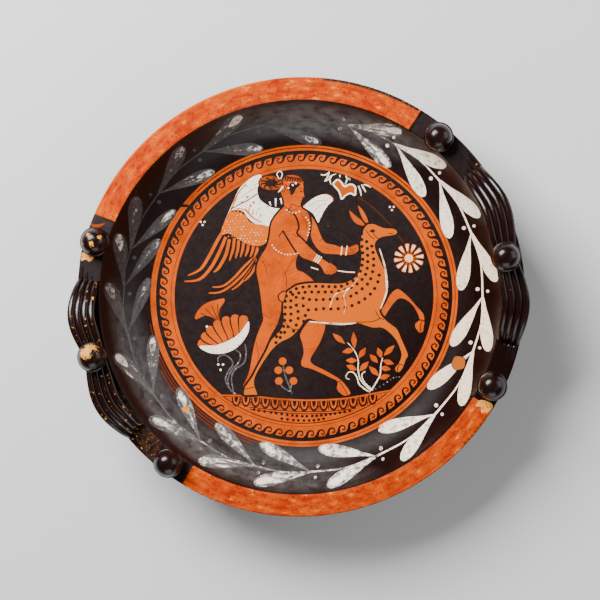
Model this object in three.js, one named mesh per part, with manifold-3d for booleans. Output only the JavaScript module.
// Painted dish (lekanis) of fired clay: an open bowl on a ring foot, with a flat rim, two upright ribbed
// handles that arch over the rim, and a knob on and at each side of each handle. It is one fired piece.
// Millimetres, +Z up, +X along the handles, origin on the table under the middle of the foot.
import * as THREE from "three";
import { mergeVertices } from "three/addons/utils/BufferGeometryUtils.js";
import Module from "manifold-3d";

// Bowl and rim
const rimRadius = 180; // outer edge of the rim, mean of its slight oval
const rimOval = 0.013; // share by which the rim is longer along the handles and shorter across them
const rimWidth = 19; // flat band on top of the rim
const rimFace = 11; // height of the rim's upright outer face
const rimRound = 1.2; // rounding of the rim's edges
const rimFall = 0.8; // fall of the rim's top from its inner to its outer edge
const bowlDepth = 42; // middle of the floor below the rim
const floorRadius = 120; // where the flat floor turns up into the wall
const floorRise = 2.6; // rise of the floor from its middle to there
const wall = 7; // thickness of the floor and the wall

// Ring foot
const footHeight = 27; // table to the underside of the floor
const footRadius = 64; // outer edge of the foot on the table
const footRest = 10; // width of the ring that it rests on
const footLip = 9; // height of the foot's thick edge
const footStem = 53; // radius of the foot's waist
const stemWall = 9; // thickness of the clay at the waist

// Handles: a flat strap of clay with ribs pressed along it, set on the rim as an arch
const strapWidth = 23; // across the ribs, where the strap is widest
const strapThickness = 9.5;
const strapPinch = 0.22; // share of the width lost under the middle knob
const strapEnd = 0.24; // share of the width lost at the ends, where the strap sinks into the rim
const ribCount = 4;
const archHeight = 22; // middle of the strap above the rim, at its two high shoulders
const archDip = 2.5; // how much lower it runs under the middle knob
const archSink = 6; // how deep its ends go into the rim
const archSwell = 2.2; // how far the shoulders lean out past the line of the rim
const archTuck = 2.6; // how far the strap is drawn in under the middle knob
const shoulderShare = 0.38; // place of a shoulder between the middle knob and the side knob
const rootShare = 0.64; // place of an end between the middle knob and the side knob

// Knobs: a short neck and a round cap with a thin collar
const knobRadius = 11;
const knobHeight = 21; // neck and cap together
const knobNeck = 6; // radius of the neck
const knobCollar = 1.1; // how far the collar stands out past the cap
const collarHeight = 2;
const neckHeight = 7;
const knobSink = 2.5; // depth of a neck in what carries it
const middleKnobSink = 3.5; // the same for the knob on the strap, which sits between ribs

// Places of the knobs as degrees about the bowl, measured from +X or, on the second handle, from -X.
// They were set by hand and differ a little from one handle to the other.
const handles = [
  { turn: 0, middleKnob: -2.8, sideKnobs: [35.3, -39.1] },
  { turn: 180, middleKnob: 2.0, sideKnobs: [38.3, -30.0] },
];

// Steps
const turnSteps = 76; // round the bowl
const wallSteps = 8; // up the wall
const strapSteps = 30; // along a strap
const ribSteps = 4; // over a rib
const knobSteps = 13; // round a knob
const capSteps = 5; // over a knob's cap

const rad = THREE.MathUtils.degToRad;
const floorHeight = footHeight + wall;
const rimHeight = floorHeight + bowlDepth;
const rimMiddle = rimRadius - rimWidth / 2;

const wasm = await Module();
wasm.setup();

// A closed mesh as a solid that can be joined to another.
function solidOf(geometry) {
  const bare = geometry.clone();
  bare.deleteAttribute("normal");
  bare.deleteAttribute("uv");
  const merged = mergeVertices(bare, 1e-4);
  return new wasm.Manifold(
    new wasm.Mesh({
      numProp: 3,
      vertProperties: merged.attributes.position.array,
      triVerts: new Uint32Array(merged.index.array),
    }),
  );
}

function geometryOf(solid) {
  const mesh = solid.getMesh();
  const geometry = new THREE.BufferGeometry();
  geometry.setAttribute("position", new THREE.BufferAttribute(mesh.vertProperties, 3));
  geometry.setIndex(new THREE.BufferAttribute(mesh.triVerts, 1));
  geometry.computeVertexNormals();
  return geometry;
}

// A profile of radius and height, revolved about the Z axis.
function revolve(profile, steps) {
  return new THREE.LatheGeometry(profile, steps).rotateX(Math.PI / 2);
}

// The rim is a little longer along the handles, and everything on it follows.
function oval(x, y) {
  return [x * (1 + rimOval), y * (1 - rimOval)];
}

// Inside of the bowl from the middle of the floor to the inner edge of the rim.
function insideLine() {
  const edge = rimRadius - rimWidth;
  const reach = edge - floorRadius;
  const line = [];
  for (const share of [0, 0.3, 0.55, 0.8]) {
    line.push(new THREE.Vector2(floorRadius * share, floorHeight + floorRise * share ** 2));
  }
  const wallCurve = new THREE.CubicBezierCurve(
    new THREE.Vector2(floorRadius, floorHeight + floorRise),
    new THREE.Vector2(floorRadius + reach * 0.5, floorHeight + floorRise * 1.6),
    new THREE.Vector2(edge - reach * 0.12, rimHeight - bowlDepth * 0.5),
    new THREE.Vector2(edge, rimHeight - rimRound),
  );
  return line.concat(wallCurve.getPoints(wallSteps));
}

// The same line one wall thickness further out, for the underside.
function outsideLine(inside) {
  return inside.map((point, i) => {
    const before = inside[Math.max(i - 1, 0)];
    const after = inside[Math.min(i + 1, inside.length - 1)];
    const along = after.clone().sub(before).normalize();
    return new THREE.Vector2(point.x === 0 ? 0 : point.x + along.y * wall, point.y - along.x * wall);
  });
}

function makeBowl() {
  const inside = insideLine();
  const underRim = rimHeight - rimFall - rimFace;
  const outside = outsideLine(inside);
  const hollowRadius = footStem - stemWall;
  const wallOut = outside.filter((p) => p.x > footStem + stemWall / 2 && p.y < underRim - wall / 2);
  const underFloor = outside.filter((p) => p.x < hollowRadius - stemWall / 2);
  const point = (r, z) => new THREE.Vector2(r, z);
  const profile = [
    ...inside,
    point(rimRadius - rimWidth + rimRound, rimHeight),
    point(rimRadius - rimRound, rimHeight - rimFall),
    point(rimRadius, rimHeight - rimFall - rimRound),
    point(rimRadius, underRim + rimRound),
    point(rimRadius - rimRound, underRim),
    ...wallOut.reverse(),
    point(footStem + stemWall / 2, footHeight),
    point(footStem, footHeight - stemWall / 2),
    point(footStem, footLip + stemWall / 3),
    point(footRadius - rimRound, footLip),
    point(footRadius, footLip - rimRound),
    point(footRadius, rimRound),
    point(footRadius - rimRound, 0),
    point(footRadius - footRest, 0),
    point(hollowRadius, footLip),
    point(hollowRadius, footHeight - stemWall / 2),
    ...underFloor.reverse(),
  ];
  const bowl = revolve(profile.reverse(), turnSteps);
  const place = bowl.attributes.position;
  for (let i = 0; i < place.count; i++) {
    place.setXY(i, ...oval(place.getX(i), place.getY(i)));
  }
  return solidOf(bowl);
}

// Cross-section of the strap: ribs side by side on top, a rounded underside.
function strapSection() {
  const rib = strapWidth / ribCount;
  const ribBase = strapThickness / 2 - rib / 2;
  const outline = [];
  for (let i = 0; i < ribCount; i++) {
    const middle = -strapWidth / 2 + (i + 0.5) * rib;
    for (let k = i === 0 ? 0 : 1; k <= ribSteps; k++) {
      const angle = Math.PI * (1 - k / ribSteps);
      outline.push([middle + (rib / 2) * Math.cos(angle), ribBase + (rib / 2) * Math.sin(angle)]);
    }
  }
  outline.push([strapWidth * 0.32, -strapThickness / 2]);
  outline.push([-strapWidth * 0.32, -strapThickness / 2]);
  return new THREE.Shape(outline.map(([across, up]) => new THREE.Vector2(across, up)));
}

// The strap's middle line and width at a share from one end (0) to the other (1).
function strapLine(handle, share) {
  const [first, second] = handle.sideKnobs.map((side) => side - handle.middleKnob);
  const side = share < 0.5 ? first : second;
  const off = Math.abs(share - 0.5) * 2;
  const shoulder = shoulderShare / rootShare;
  const nearMiddle = Math.exp(-((off / (shoulder * 0.5)) ** 2));
  const nearShoulder = Math.exp(-(((off - shoulder) / 0.24) ** 2));
  const climb = Math.sqrt(Math.max(0, 1 - off ** 3.2));
  return {
    angle: rad(handle.turn + handle.middleKnob + side * rootShare * off),
    radius: rimMiddle + archSwell * nearShoulder - archTuck * nearMiddle,
    height: rimHeight - archSink + (archHeight + archSink) * climb - archDip * nearMiddle,
    width: 1 - strapPinch * nearMiddle - strapEnd * off ** 4,
  };
}

function strapPoint(handle, share) {
  const { angle, radius, height } = strapLine(handle, share);
  return new THREE.Vector3(radius * Math.cos(angle), radius * Math.sin(angle), height);
}

// The section is extruded straight and then bent along the arch.
function makeStrap(handle) {
  const strap = new THREE.ExtrudeGeometry(strapSection(), { depth: 1, steps: strapSteps, bevelEnabled: false });
  const place = strap.attributes.position;
  const step = 0.002;
  for (let i = 0; i < place.count; i++) {
    const share = (1 - Math.cos(Math.PI * place.getZ(i))) / 2;
    const { angle, width } = strapLine(handle, share);
    const before = strapPoint(handle, Math.max(share - step, 0));
    const after = strapPoint(handle, Math.min(share + step, 1));
    const along = after.sub(before).normalize();
    const outward = new THREE.Vector3(Math.cos(angle), Math.sin(angle), 0);
    const across = outward.addScaledVector(along, -outward.dot(along)).normalize();
    const up = new THREE.Vector3().crossVectors(along, across);
    const spot = strapPoint(handle, share);
    spot.addScaledVector(across, place.getX(i) * width);
    spot.addScaledVector(up, place.getY(i));
    place.setXYZ(i, ...oval(spot.x, spot.y), spot.z);
  }
  return solidOf(strap);
}

function makeKnob(angle, radius, height, sink) {
  const cap = knobHeight - neckHeight;
  const point = (r, z) => new THREE.Vector2(r, z);
  const profile = [
    point(0, -sink),
    point(knobNeck, -sink),
    point(knobNeck, neckHeight * 0.6),
    point(knobRadius + knobCollar, neckHeight),
    point(knobRadius + knobCollar, neckHeight + collarHeight * 0.6),
    point(knobRadius, neckHeight + collarHeight),
  ];
  for (let i = 1; i <= capSteps; i++) {
    const rise = (Math.PI / 2) * (i / capSteps);
    profile.push(point(knobRadius * Math.cos(rise), neckHeight + collarHeight + (cap - collarHeight) * Math.sin(rise)));
  }
  profile[profile.length - 1].x = 0;
  const [x, y] = oval(radius * Math.cos(rad(angle)), radius * Math.sin(rad(angle)));
  return solidOf(revolve(profile, knobSteps).translate(x, y, height));
}

let dish = makeBowl();
for (const handle of handles) {
  const strap = makeStrap(handle);
  const middle = handle.turn + handle.middleKnob;
  const strapTop = rimHeight + archHeight - archDip + strapThickness / 2;
  const knobs = [makeKnob(middle, rimMiddle - archTuck, strapTop, middleKnobSink)];
  for (const side of handle.sideKnobs) {
    knobs.push(makeKnob(handle.turn + side, rimMiddle, rimHeight - rimFall / 2, knobSink));
  }
  dish = [strap, ...knobs].reduce((whole, piece) => whole.add(piece), dish);
}

const pottery = new THREE.MeshStandardMaterial({ color: "#2b1c16", roughness: 0.35, metalness: 0 });
const lekanis = new THREE.Mesh(geometryOf(dish), pottery);
lekanis.name = "lekanis";

const part = new THREE.Group();
part.add(lekanis);
export default part;
